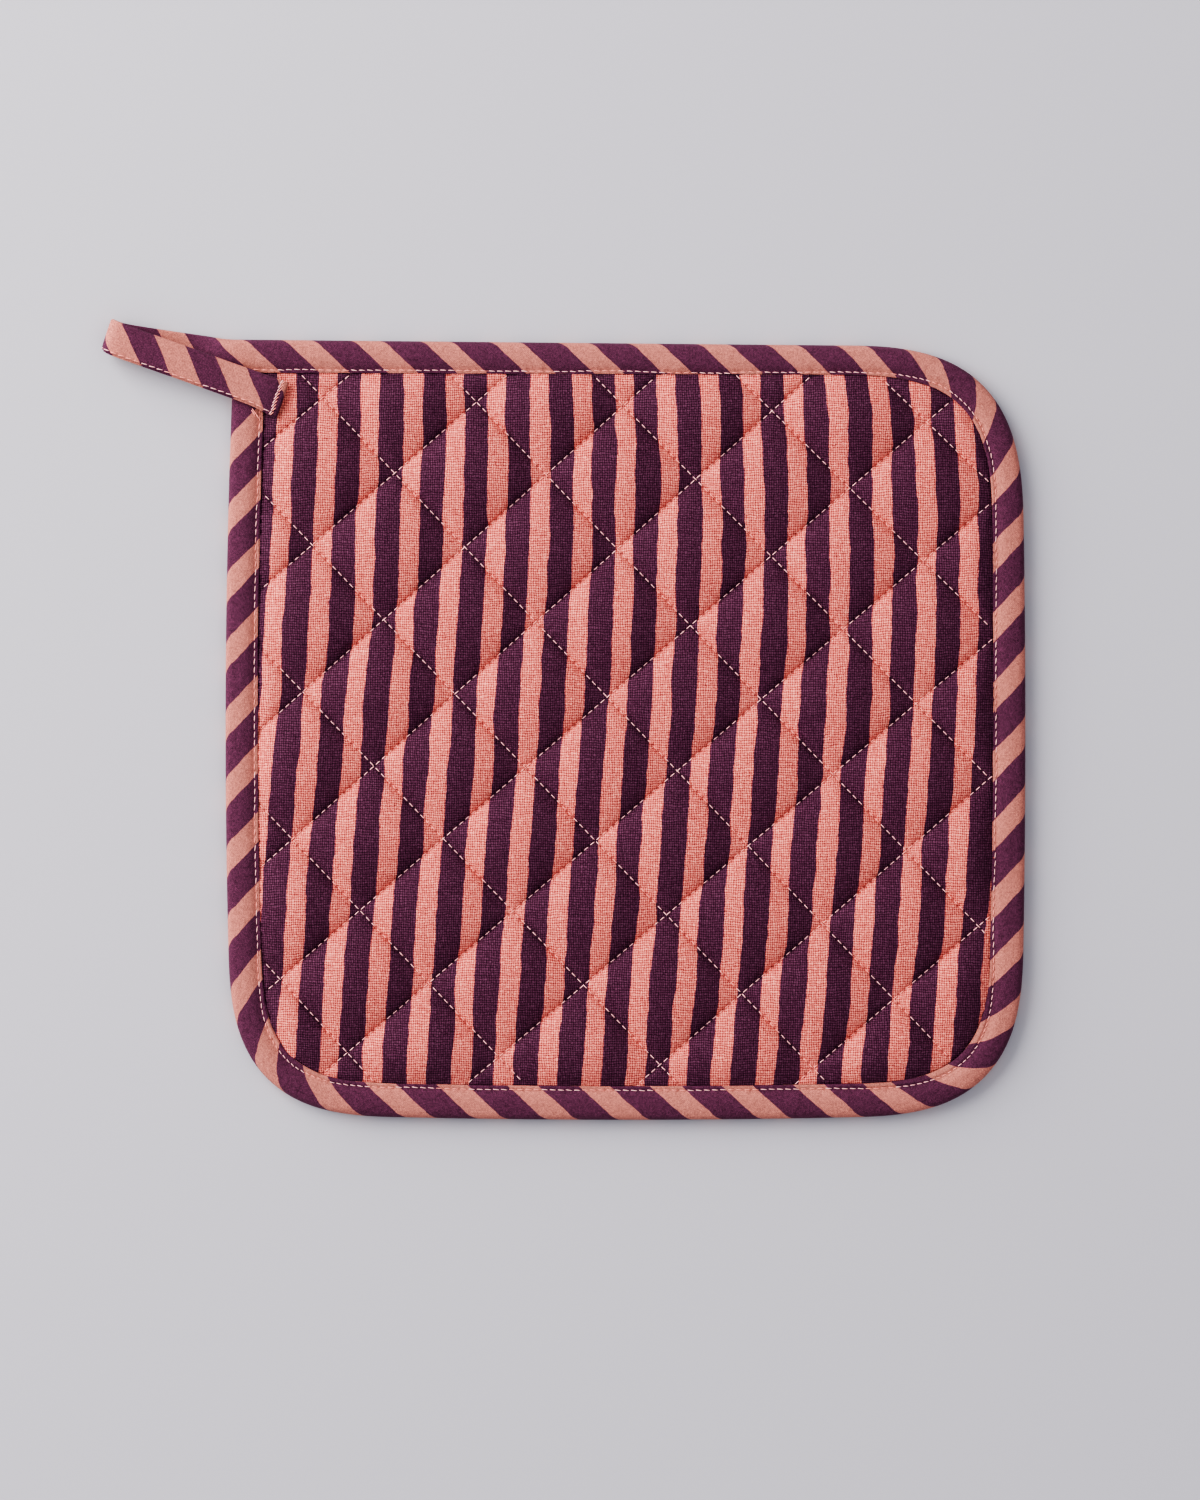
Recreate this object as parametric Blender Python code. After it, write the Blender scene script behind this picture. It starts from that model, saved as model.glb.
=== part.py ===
"""Quilted pot holder with a hanging loop, lying flat with its face up.

Metres, +Z up. The origin is in the middle of the panel's underside, in the plane that it rests on. +X runs
to the right and +Y up the face, with the loop at the top left corner.

Three pieces: the quilted panel, the bias tape folded round its rim, and the loop, which is the same tape
carried on past the corner, turned back over itself and sewn down on the panel.
"""

import collections
import math

import bmesh
import bpy
import numpy as np
from mathutils import Vector
from mathutils.geometry import delaunay_2d_cdt

MM = 0.001
GAP = 0.3 * MM  # between pieces that touch

# The rim seen from above. Each side ends at these lines and bows out in its middle; each rounded corner
# starts this far from where its sides would meet, and the top left corner is square.
LEFT = -107.6 * MM
RIGHT = 108.6 * MM
BOTTOM = -104.7 * MM
TOP = 106.4 * MM
TOP_LEFT_RISE = 1.6 * MM  # the top side climbs this much towards the loop
BOW_LEFT = 2.4 * MM
BOW_RIGHT = 1.6 * MM
BOW_BOTTOM = 2.1 * MM
REACH_BOTTOM_LEFT = 45.9 * MM
REACH_BOTTOM_RIGHT = 47.9 * MM
REACH_TOP_RIGHT = 51.8 * MM
CORNER_POWER = 3.0  # of the superellipse that rounds a corner

# How wide the tape shows on the face, where each stretch of the rim starts, anticlockwise from the loop.
TAPE_ON_FACE = {
    "left": 8.6 * MM,
    "bottom_left": 8.8 * MM,
    "bottom": 9.4 * MM,
    "bottom_right": 9.4 * MM,
    "right": 9.0 * MM,
    "top_right": 8.5 * MM,
    "top": 8.1 * MM,
    "loop": 9.0 * MM,
}
TAPE_MORE_ON_BACK = 0.6 * MM
TAPE_THICKNESS = 1.0 * MM
TAPE_EDGE_ROUNDING = 0.4 * MM
NOSE_DEPTH = 2.5 * MM  # how far the tape's round edge reaches in from the rim
NOSE_TURN = 30  # degrees from one point of the round edge to the next

# Under the tape the panel's edge is this much thinner on either side than at its seam.
PANEL_EDGE_TAPER = 0.8 * MM

# Heights above the surface. The seam levels are those of the two cloths where they are sewn together.
SEAM_UNDER = TAPE_THICKNESS + GAP
SEAM_FACE = 4.1 * MM
TAPE_TOP = SEAM_FACE + GAP + TAPE_THICKNESS
CROWN_FACE = 3.3 * MM  # a full diamond's middle above the seam level
CROWN_UNDER = 5.4 * MM  # as filled, before the surface presses it flat
PUFF_POWER = 0.5  # below 1, a puff rises steeply beside its seams and is broad on top
RIM_RISE = 10.0 * MM  # how far from the tape a puff is full again

# The quilting lines: the angle of each to +X in degrees, and its distance from the origin in millimetres.
QuiltLine = collections.namedtuple("QuiltLine", "angle distance")
RISING_LINES = [
    QuiltLine(40.0, -128.4),
    QuiltLine(40.75, -103.9),
    QuiltLine(41.0, -75.4),
    QuiltLine(40.25, -45.8),
    QuiltLine(40.5, -17.5),
    QuiltLine(40.75, 10.4),
    QuiltLine(41.75, 38.9),
    QuiltLine(41.75, 67.2),
    QuiltLine(41.0, 95.2),
    QuiltLine(40.0, 123.8),
]
FALLING_LINES = [
    QuiltLine(136.0, -118.9),
    QuiltLine(135.25, -91.1),
    QuiltLine(134.5, -62.5),
    QuiltLine(133.75, -33.2),
    QuiltLine(133.5, -3.0),
    QuiltLine(133.75, 26.6),
    QuiltLine(133.75, 56.4),
    QuiltLine(133.5, 86.7),
    QuiltLine(132.5, 115.9),
]

# The loop's tape. Each row is a place on its middle line in millimetres, the direction across the tape in
# degrees from +X, and the tape's width and thickness there.
LoopRow = collections.namedtuple("LoopRow", "x y z across width thickness")
LOOP_ROWS = [
    LoopRow(-107.95, 103.50, 2.70, 90.0, 9.0, 5.3),
    LoopRow(-111.0, 103.75, 2.55, 88.0, 9.0, 4.8),
    LoopRow(-116.0, 104.55, 1.65, 84.0, 9.1, 2.6),
    LoopRow(-121.0, 105.30, 1.20, 81.5, 9.1, 1.4),
    LoopRow(-131.0, 106.75, 1.20, 78.0, 9.2, 1.4),
    LoopRow(-138.6, 108.00, 1.20, 73.0, 9.3, 1.4),
    LoopRow(-141.3, 108.80, 2.10, 71.5, 9.3, 1.4),
    LoopRow(-142.1, 109.05, 4.20, 71.0, 9.3, 1.4),
    LoopRow(-141.3, 108.55, 6.30, 71.0, 9.3, 1.4),
    LoopRow(-138.6, 107.30, 7.20, 70.7, 9.3, 1.4),
    LoopRow(-130.0, 104.25, 7.25, 70.7, 9.3, 1.4),
    LoopRow(-120.0, 100.70, 7.20, 70.7, 9.3, 1.4),
    LoopRow(-110.0, 97.15, 6.70, 70.7, 9.3, 1.4),
    LoopRow(-103.0, 94.70, 6.50, 70.7, 9.3, 1.4),
    LoopRow(-99.2, 93.35, 6.45, 70.7, 9.3, 1.4),
    LoopRow(-94.4, 91.65, 5.60, 70.7, 9.3, 1.4),
]
LOOP_EDGE_ROUNDING = 0.5 * MM
LOOP_STEPS = 3  # sections from one row to the next

# Where the loop's end is sewn down, it presses the puff under it flat.
TACK = Vector((-96.0 * MM, 92.5 * MM))
TACK_REACH = 8.0 * MM

# Where the mesh has its points: across a diamond, as shares of its width, and along the rim.
FACE_SHARES = (0.0, 0.05, 0.15, 0.3, 0.5, 0.7, 0.85, 0.95)
UNDER_SHARES = (0.0, 0.08, 0.5, 0.92)
RIM_SIDE_STEPS = 14
RIM_CORNER_STEPS = 14
RIM_RINGS_ON_FACE = (0.0, 1.3 * MM, 4.0 * MM)  # inwards from the tape's edge
RIM_RINGS_UNDER = (0.0, 1.3 * MM)
CLEAR_OF_RING = 0.6 * MM  # no point between seams is nearer to a ring
CLEAR_OF_EDGE = 1.0 * MM  # and no point of a seam is nearer to the outermost one that it crosses
JOIN_WITHIN = 0.02 * MM  # points of the mesh this close become one

CORAL = (0.66, 0.24, 0.20, 1.0)
AUBERGINE = (0.075, 0.018, 0.040, 1.0)
CLOTH_ROUGHNESS = 0.85
CREASE_ANGLE = math.radians(50)  # a sharper edge than this is shaded as a crease

Station = collections.namedtuple("Station", "point inwards tape")


def clear_scene():
    for item in list(bpy.data.objects):
        bpy.data.objects.remove(item, do_unlink=True)


def between(start, end, share):
    return start + (end - start) * share


# ---------------------------------------------------------------- the rim


def bowed(point):
    """The point moved out by its side's bow, which is full in the side's middle and nothing at its ends."""
    across = 2 * (point.x - LEFT) / (RIGHT - LEFT) - 1
    along = 2 * (point.y - BOTTOM) / (TOP - BOTTOM) - 1
    bow_x = BOW_RIGHT if across > 0 else -BOW_LEFT
    bow_y = 0.0 if along > 0 else -BOW_BOTTOM
    out_x = bow_x * abs(across) ** 3 * max(0.0, 1 - along**2)
    out_y = bow_y * abs(along) ** 3 * max(0.0, 1 - across**2)
    return Vector((point.x + out_x, point.y + out_y))


def side_stations(start, end, inwards, tapes, steps):
    """Stations from start to end without the last. inwards and tapes give the values at both ends."""
    for step in range(steps):
        share = step / steps
        yield Station(
            bowed(between(Vector(start), Vector(end), share)),
            between(Vector(inwards[0]), Vector(inwards[1]), share),
            between(tapes[0], tapes[1], share),
        )


def corner_stations(centre, reach, first_angle, tapes, steps):
    """Stations round a rounded corner without the last, a quarter turn anticlockwise from first_angle."""
    for step in range(steps):
        share = step / steps
        angle = math.radians(first_angle + 90 * share)
        cosine, sine = math.cos(angle), math.sin(angle)
        scale = (abs(cosine) ** CORNER_POWER + abs(sine) ** CORNER_POWER) ** (-1 / CORNER_POWER)
        outwards = Vector(
            (
                math.copysign(abs(cosine) ** (CORNER_POWER - 1), cosine),
                math.copysign(abs(sine) ** (CORNER_POWER - 1), sine),
            )
        ).normalized()
        point = Vector(centre) + Vector((cosine, sine)) * reach * scale
        yield Station(bowed(point), -outwards, between(tapes[0], tapes[1], share))


def rim_stations(square_corner):
    """Stations anticlockwise along the rim from the top left corner.

    With square_corner they close on themselves, with a mitre at that corner. Without it they are the tape's:
    it starts below the top stretch and ends, with one more station, at the corner.
    """
    tape = TAPE_ON_FACE
    top_left = Vector((LEFT, TOP + TOP_LEFT_RISE))
    left_start = top_left if square_corner else top_left - Vector((0.0, tape["loop"] + GAP))
    mitre_left = tape["loop"] / tape["left"] if square_corner else 0.0
    mitre_top = tape["left"] / tape["loop"] if square_corner else 0.0
    stations = []
    stations += side_stations(
        left_start,
        (LEFT, BOTTOM + REACH_BOTTOM_LEFT),
        ((1.0, -mitre_left), (1.0, 0.0)),
        (tape["left"], tape["bottom_left"]),
        RIM_SIDE_STEPS,
    )
    stations += corner_stations(
        (LEFT + REACH_BOTTOM_LEFT, BOTTOM + REACH_BOTTOM_LEFT),
        REACH_BOTTOM_LEFT,
        180.0,
        (tape["bottom_left"], tape["bottom"]),
        RIM_CORNER_STEPS,
    )
    stations += side_stations(
        (LEFT + REACH_BOTTOM_LEFT, BOTTOM),
        (RIGHT - REACH_BOTTOM_RIGHT, BOTTOM),
        ((0.0, 1.0), (0.0, 1.0)),
        (tape["bottom"], tape["bottom_right"]),
        RIM_SIDE_STEPS,
    )
    stations += corner_stations(
        (RIGHT - REACH_BOTTOM_RIGHT, BOTTOM + REACH_BOTTOM_RIGHT),
        REACH_BOTTOM_RIGHT,
        270.0,
        (tape["bottom_right"], tape["right"]),
        RIM_CORNER_STEPS,
    )
    stations += side_stations(
        (RIGHT, BOTTOM + REACH_BOTTOM_RIGHT),
        (RIGHT, TOP - REACH_TOP_RIGHT),
        ((-1.0, 0.0), (-1.0, 0.0)),
        (tape["right"], tape["top_right"]),
        RIM_SIDE_STEPS,
    )
    stations += corner_stations(
        (RIGHT - REACH_TOP_RIGHT, TOP - REACH_TOP_RIGHT),
        REACH_TOP_RIGHT,
        0.0,
        (tape["top_right"], tape["top"]),
        RIM_CORNER_STEPS,
    )
    stations += side_stations(
        (RIGHT - REACH_TOP_RIGHT, TOP),
        top_left,
        ((0.0, -1.0), (mitre_top, -1.0)),
        (tape["top"], tape["loop"]),
        RIM_SIDE_STEPS,
    )
    if not square_corner:
        stations.append(Station(top_left, Vector((0.0, -1.0)), tape["loop"]))
    return stations


def ring(inset, more_than_tape=False):
    """The closed outline at this inset from the rim, or this much further in than the tape's edge."""
    return [
        s.point + s.inwards * (inset + (s.tape if more_than_tape else 0.0))
        for s in rim_stations(square_corner=True)
    ]


def depth_inside(points, outline):
    """For each point, its distance from the closed anticlockwise outline, positive inside it."""
    points = np.array([tuple(p) for p in points])
    starts = np.array([tuple(p) for p in outline])
    edges = np.roll(starts, -1, axis=0) - starts
    offsets = points[:, None, :] - starts[None, :, :]
    shares = (offsets * edges).sum(axis=2) / (edges**2).sum(axis=1)
    nearest = offsets - np.clip(shares, 0.0, 1.0)[..., None] * edges
    distances = np.linalg.norm(nearest, axis=2)
    closest = distances.argmin(axis=1)
    rows = np.arange(len(points))
    edge, offset = edges[closest], offsets[rows, closest]
    inside = edge[:, 0] * offset[:, 1] - edge[:, 1] * offset[:, 0] > 0
    return np.where(inside, 1.0, -1.0) * distances[rows, closest]


# ---------------------------------------------------------------- the quilting


def quilt_line(lines, index):
    """The normal and distance of the line at this index, which may lie between two lines or past the last."""
    first = min(max(math.floor(index), 0), len(lines) - 2)
    angle = math.radians(between(lines[first].angle, lines[first + 1].angle, index - first))
    distance = between(lines[first].distance, lines[first + 1].distance, index - first) * MM
    return Vector((-math.sin(angle), math.cos(angle))), distance


def crossing(rising_index, falling_index):
    """Where a rising and a falling line cross."""
    normal_a, distance_a = quilt_line(RISING_LINES, rising_index)
    normal_b, distance_b = quilt_line(FALLING_LINES, falling_index)
    determinant = normal_a.x * normal_b.y - normal_a.y * normal_b.x
    return Vector(
        (
            (distance_a * normal_b.y - distance_b * normal_a.y) / determinant,
            (normal_a.x * distance_b - normal_b.x * distance_a) / determinant,
        )
    )


def share_across(lines, point):
    """How far the point lies from one line towards the next, from 0 to 1."""
    above = None
    for index in range(-1, len(lines) + 1):
        normal, distance = quilt_line(lines, index)
        offset = normal.dot(point) - distance
        if offset < 0:
            return 0.0 if above is None else above / (above - offset)
        above = offset
    return 0.0


def puff(share):
    return max(0.0, math.sin(math.pi * share)) ** PUFF_POWER


def fullness(point, depth_from_tape):
    """How full the quilting is at a point: 0 on every seam and under the tape, 1 in a full diamond's middle."""
    if depth_from_tape <= 0:
        return 0.0
    rise = puff(0.5 * min(1.0, depth_from_tape / RIM_RISE))
    return rise * puff(share_across(RISING_LINES, point)) * puff(share_across(FALLING_LINES, point))


def face_height(point, depth_from_tape):
    pressed = math.exp(-(((point - TACK).length / TACK_REACH) ** 4))
    return SEAM_FACE + CROWN_FACE * fullness(point, depth_from_tape) * (1 - pressed)


def under_height(point, depth_from_tape):
    return max(0.0, SEAM_UNDER - CROWN_UNDER * fullness(point, depth_from_tape))


def quilt_points(shares):
    """The points of the quilting and the pairs of them that lie next to each other on a seam."""
    rising = [i + s for i in range(-1, len(RISING_LINES)) for s in shares]
    falling = [i + s for i in range(-1, len(FALLING_LINES)) for s in shares]
    points = {(a, b): crossing(a, b) for a in rising for b in falling}
    seams = []
    for line, crossed in ((rising, falling), (falling, rising)):
        for a in line:
            if a != round(a) or a < 0:
                continue
            for b, following in zip(crossed, crossed[1:]):
                pair = [(a, b), (a, following)]
                seams.append(pair if line is rising else [key[::-1] for key in pair])
    return points, seams


def sheet(shares, rings, edge_rings):
    """One cloth of the panel, seen from above: its points, its triangles and the indices of its outer edge.

    edge_rings lie under the tape, the outermost first, and rings inside its edge, outermost first.
    """
    points, edges = [], []
    for outline in [*edge_rings, *rings]:
        first = len(points)
        points += outline
        count = len(outline)
        edges += [(first + i, first + (i + 1) % count) for i in range(count)]
    lattice, seams = quilt_points(shares)
    keys = list(lattice)
    coordinates = [lattice[key] for key in keys]
    under_tape = depth_inside(coordinates, edge_rings[-1])
    inside = depth_inside(coordinates, rings[0])
    near_ring = np.min([np.abs(depth_inside(coordinates, r)) for r in rings], axis=0) < CLEAR_OF_RING
    index_of = {}
    for key, place, on_panel, depth, near in zip(keys, coordinates, under_tape, inside, near_ring):
        on_seam = any(index == round(index) for index in key)
        if (depth > 0 and (on_seam or not near)) or (on_seam and on_panel > CLEAR_OF_EDGE):
            index_of[key] = len(points)
            points.append(place)
    edges += [(index_of[a], index_of[b]) for a, b in seams if a in index_of and b in index_of]
    places, _, triangles, origins, _, _ = delaunay_2d_cdt(points, edges, [], 0, JOIN_WITHIN, True)
    middles = [sum((places[i] for i in triangle), Vector((0.0, 0.0))) / 3 for triangle in triangles]
    depths = depth_inside(middles, edge_rings[0])
    triangles = [triangle for triangle, depth in zip(triangles, depths) if depth > 0]
    found = {origin: index for index, sources in enumerate(origins) for origin in sources}
    return places, triangles, [found[i] for i in range(len(edge_rings[0]))]


# ---------------------------------------------------------------- pieces


def new_object(name, mesh, collection):
    item = bpy.data.objects.new(name, mesh)
    collection.objects.link(item)
    return item


def paint(item, colour, roughness):
    material = bpy.data.materials.new(item.name)
    material.use_nodes = True
    shader = material.node_tree.nodes["Principled BSDF"]
    shader.inputs["Base Color"].default_value = colour
    shader.inputs["Roughness"].default_value = roughness
    shader.inputs["Metallic"].default_value = 0.0
    item.data.materials.append(material)


def quilted_panel(collection):
    """Face and back cloth as two sheets, joined round the edge that the tape covers."""
    edge = ring(TAPE_THICKNESS + 2 * GAP)
    shoulder = ring(NOSE_DEPTH + GAP)
    face_rings = [ring(GAP + inset, more_than_tape=True) for inset in RIM_RINGS_ON_FACE]
    under_tape_edge = GAP + TAPE_MORE_ON_BACK
    under_rings = [ring(under_tape_edge + inset, more_than_tape=True) for inset in RIM_RINGS_UNDER]

    built = bmesh.new()
    edges = []
    for shares, rings, height, edge_height, faces_up in (
        (FACE_SHARES, face_rings, face_height, SEAM_FACE - PANEL_EDGE_TAPER, True),
        (UNDER_SHARES, under_rings, under_height, SEAM_UNDER + PANEL_EDGE_TAPER, False),
    ):
        places, triangles, outer = sheet(shares, rings, [edge, shoulder])
        in_from_edge = depth_inside(places, edge)
        in_from_tape = depth_inside(places, rings[0])
        vertices = []
        for place, from_edge, from_tape in zip(places, in_from_edge, in_from_tape):
            z = edge_height if from_edge < JOIN_WITHIN else height(place, from_tape)
            vertices.append(built.verts.new((place.x, place.y, z)))
        for triangle in triangles:
            corners = [vertices[i] for i in triangle]
            built.faces.new(corners if faces_up else corners[::-1])
        edges.append([vertices[i] for i in outer])
    face_edge, under_edge = edges
    for i in range(len(face_edge)):
        built.faces.new((under_edge[i - 1], under_edge[i], face_edge[i], face_edge[i - 1]))
    mesh = bpy.data.meshes.new("quilted_panel")
    built.to_mesh(mesh)
    built.free()
    mesh.shade_smooth()
    mesh.set_sharp_from_angle(angle=CREASE_ANGLE)
    panel = new_object("quilted_panel", mesh, collection)
    paint(panel, CORAL, CLOTH_ROUGHNESS)
    return panel


def loft(name, sections, collection):
    """A solid through sections, each a closed loop of as many points, with its first and last ones capped."""
    built = bmesh.new()
    loops = [[built.verts.new(point) for point in section] for section in sections]
    for before, after in zip(loops, loops[1:]):
        for i in range(len(before)):
            built.faces.new((before[i - 1], before[i], after[i], after[i - 1]))
    built.faces.new(loops[0][::-1])
    built.faces.new(loops[-1])
    bmesh.ops.recalc_face_normals(built, faces=built.faces)
    mesh = bpy.data.meshes.new(name)
    built.to_mesh(mesh)
    built.free()
    mesh.shade_smooth()
    mesh.set_sharp_from_angle(angle=CREASE_ANGLE)
    return new_object(name, mesh, collection)


def tape_section(tape):
    """The folded tape's section as (inset from the rim, height): its outside from back to face, then its inside."""
    middle = TAPE_TOP / 2
    back = tape + TAPE_MORE_ON_BACK
    wall = TAPE_THICKNESS + GAP
    top, bottom = TAPE_TOP - TAPE_THICKNESS, TAPE_THICKNESS
    outside = [(back, 0.0)]
    for angle in range(-90, 91, NOSE_TURN):
        inset = NOSE_DEPTH * (1 - math.cos(math.radians(angle)))
        outside.append((inset, middle + middle * math.sin(math.radians(angle))))
    outside += [(tape - TAPE_EDGE_ROUNDING, TAPE_TOP), (tape, TAPE_TOP - TAPE_EDGE_ROUNDING)]
    inside = [(tape, top), (NOSE_DEPTH, top), (wall, top - PANEL_EDGE_TAPER)]
    inside += [(wall, bottom + PANEL_EDGE_TAPER), (NOSE_DEPTH, bottom), (back, bottom)]
    return outside + inside


def edge_binding(collection):
    sections = []
    for station in rim_stations(square_corner=False):
        section = []
        for inset, height in tape_section(station.tape):
            place = station.point + station.inwards * inset
            section.append((place.x, place.y, height))
        sections.append(section)
    binding = loft("edge_binding", sections, collection)
    paint(binding, AUBERGINE, CLOTH_ROUGHNESS)
    return binding


def smooth_rows(rows, steps):
    """The rows with others between them, on a Catmull-Rom curve through them."""
    values = [np.array(row) for row in rows]
    padded = [2 * values[0] - values[1], *values, 2 * values[-1] - values[-2]]
    result = []
    for i in range(1, len(padded) - 2):
        a, b, c, d = padded[i - 1 : i + 3]
        for step in range(steps):
            t = step / steps
            squared = (2 * a - 5 * b + 4 * c - d) * t**2
            cubed = (3 * b - a - 3 * c + d) * t**3
            result.append((2 * b + (c - a) * t + squared + cubed) / 2)
    result.append(values[-1])
    return result


def hanging_loop(collection):
    rows = [LoopRow(*row) for row in smooth_rows(LOOP_ROWS, LOOP_STEPS)]
    middles = [Vector((row.x, row.y, row.z)) * MM for row in rows]
    sections = []
    for i, row in enumerate(rows):
        travel = middles[min(i + 1, len(rows) - 1)] - middles[max(i - 1, 0)]
        across = Vector((math.cos(math.radians(row.across)), math.sin(math.radians(row.across)), 0.0))
        outwards = travel.cross(across).normalized()
        half_width, half_thickness = row.width * MM / 2, row.thickness * MM / 2
        rounding = LOOP_EDGE_ROUNDING
        corners = [
            (half_width, half_thickness - rounding),
            (half_width - rounding, half_thickness),
            (rounding - half_width, half_thickness),
            (-half_width, half_thickness - rounding),
            (-half_width, rounding - half_thickness),
            (rounding - half_width, -half_thickness),
            (half_width - rounding, -half_thickness),
            (half_width, rounding - half_thickness),
        ]
        sections.append([middles[i] + across * u + outwards * v for u, v in corners])
    loop = loft("hanging_loop", sections, collection)
    paint(loop, AUBERGINE, CLOTH_ROUGHNESS)
    return loop


def main():
    clear_scene()
    collection = bpy.data.collections.new("quilted_pot_holder")
    bpy.context.scene.collection.children.link(collection)
    quilted_panel(collection)
    edge_binding(collection)
    hanging_loop(collection)


main()
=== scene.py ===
"""Looks of the quilted pot holder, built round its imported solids.

Metres, +Z up, in the part's own frame: +X to the right of the face and +Y up it. The sizes that the solids
have are repeated here, and the cloth, the tape and the thread are modelled finely on their form.
"""

import math
from collections import namedtuple

import bpy
import numpy as np
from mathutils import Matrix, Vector, noise


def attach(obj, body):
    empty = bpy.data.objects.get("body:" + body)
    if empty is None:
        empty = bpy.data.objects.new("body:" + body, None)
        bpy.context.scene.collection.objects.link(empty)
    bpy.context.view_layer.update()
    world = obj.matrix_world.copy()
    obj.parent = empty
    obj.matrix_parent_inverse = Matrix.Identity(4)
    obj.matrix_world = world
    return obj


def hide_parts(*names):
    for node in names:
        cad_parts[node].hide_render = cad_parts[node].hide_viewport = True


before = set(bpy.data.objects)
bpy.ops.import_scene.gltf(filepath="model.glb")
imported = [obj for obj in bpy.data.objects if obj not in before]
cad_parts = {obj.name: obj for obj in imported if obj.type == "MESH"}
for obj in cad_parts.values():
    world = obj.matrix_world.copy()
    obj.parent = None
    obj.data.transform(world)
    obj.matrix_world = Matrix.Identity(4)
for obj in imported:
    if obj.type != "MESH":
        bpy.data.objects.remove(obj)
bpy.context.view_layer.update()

MM = 0.001

# ---- sizes that the solids have

# The rim seen from above. Each side ends at these lines and bows out in its middle; each rounded corner
# starts this far from where its sides would meet, and the top left corner is square.
LEFT = -107.6 * MM
RIGHT = 108.6 * MM
BOTTOM = -104.7 * MM
TOP = 106.4 * MM
TOP_LEFT_RISE = 1.6 * MM
BOW_LEFT = 2.4 * MM
BOW_RIGHT = 1.6 * MM
BOW_BOTTOM = 2.1 * MM
REACH_BOTTOM_LEFT = 45.9 * MM
REACH_BOTTOM_RIGHT = 47.9 * MM
REACH_TOP_RIGHT = 51.8 * MM
CORNER_POWER = 3.0

# Heights above the surface.
SEAM_UNDER = 1.3 * MM
SEAM_FACE = 4.1 * MM
TAPE_TOP = 5.4 * MM
CROWN_FACE = 3.3 * MM
CROWN_UNDER = 5.4 * MM
PUFF_POWER = 0.5
RIM_RISE = 10.0 * MM
NOSE_DEPTH = 2.5 * MM
NOSE_POWER = 2.6  # how square the tape's fold is above its middle
TAPE_MORE_ON_BACK = 0.6 * MM

# The quilting lines: the angle of each to +X in degrees, and its distance from the origin in millimetres.
QuiltLine = namedtuple("QuiltLine", "angle distance")
RISING_LINES = [
    QuiltLine(40.0, -128.4),
    QuiltLine(40.75, -103.9),
    QuiltLine(41.0, -75.4),
    QuiltLine(40.25, -45.8),
    QuiltLine(40.5, -17.5),
    QuiltLine(40.75, 10.4),
    QuiltLine(41.75, 38.9),
    QuiltLine(41.75, 67.2),
    QuiltLine(41.0, 95.2),
    QuiltLine(40.0, 123.8),
]
FALLING_LINES = [
    QuiltLine(136.0, -118.9),
    QuiltLine(135.25, -91.1),
    QuiltLine(134.5, -62.5),
    QuiltLine(133.75, -33.2),
    QuiltLine(133.5, -3.0),
    QuiltLine(133.75, 26.6),
    QuiltLine(133.75, 56.4),
    QuiltLine(133.5, 86.7),
    QuiltLine(132.5, 115.9),
]

# The loop's tape. Each row is a place on its middle line in millimetres, the direction across the tape in
# degrees from +X, and the tape's width and thickness there.
LOOP_ROWS = [
    (-107.95, 103.50, 2.70, 90.0, 9.0, 5.3),
    (-111.0, 103.75, 2.55, 88.0, 9.0, 4.8),
    (-116.0, 104.55, 1.65, 84.0, 9.1, 2.6),
    (-121.0, 105.30, 1.20, 81.5, 9.1, 1.4),
    (-131.0, 106.75, 1.20, 78.0, 9.2, 1.4),
    (-138.6, 108.00, 1.20, 73.0, 9.3, 1.4),
    (-141.3, 108.80, 2.10, 71.5, 9.3, 1.4),
    (-142.1, 109.05, 4.20, 71.0, 9.3, 1.4),
    (-141.3, 108.55, 6.30, 71.0, 9.3, 1.4),
    (-138.6, 107.30, 7.20, 70.7, 9.3, 1.4),
    (-130.0, 104.25, 7.25, 70.7, 9.3, 1.4),
    (-120.0, 100.70, 7.20, 70.7, 9.3, 1.4),
    (-110.0, 97.15, 6.70, 70.7, 9.3, 1.4),
    (-103.0, 94.70, 6.50, 70.7, 9.3, 1.4),
    (-99.2, 93.35, 6.45, 70.7, 9.3, 1.4),
    (-93.8, 91.45, 5.60, 70.7, 9.3, 1.4),
]
TACK = np.array((-96.0 * MM, 92.5 * MM))  # where the loop's end is sewn down and the panel is pressed flat
TACK_REACH = 8.0 * MM

# ---- sizes of what is added here

# Where each stretch of the rim starts, anticlockwise from the loop: how wide the tape shows on the face, how
# many of its stripes have gone by, and how far its stitching lies from its inner edge.
TapeStart = namedtuple("TapeStart", "stretch width repeats stitched_at")
TAPE_STARTS = [
    TapeStart("left", 8.9 * MM, 0.03, 0.9 * MM),
    TapeStart("bottom_left", 9.1 * MM, 8.385, 1.0 * MM),
    TapeStart("bottom", 9.4 * MM, 11.91, 1.1 * MM),
    TapeStart("bottom_right", 9.4 * MM, 18.15, 1.2 * MM),
    TapeStart("right", 9.3 * MM, 22.17, 0.8 * MM),
    TapeStart("top_right", 8.8 * MM, 28.02, 0.9 * MM),
    TapeStart("top", 8.2 * MM, 32.465, 0.65 * MM),
    TapeStart("loop", 9.3 * MM, 41.1, 0.8 * MM),
]
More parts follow.
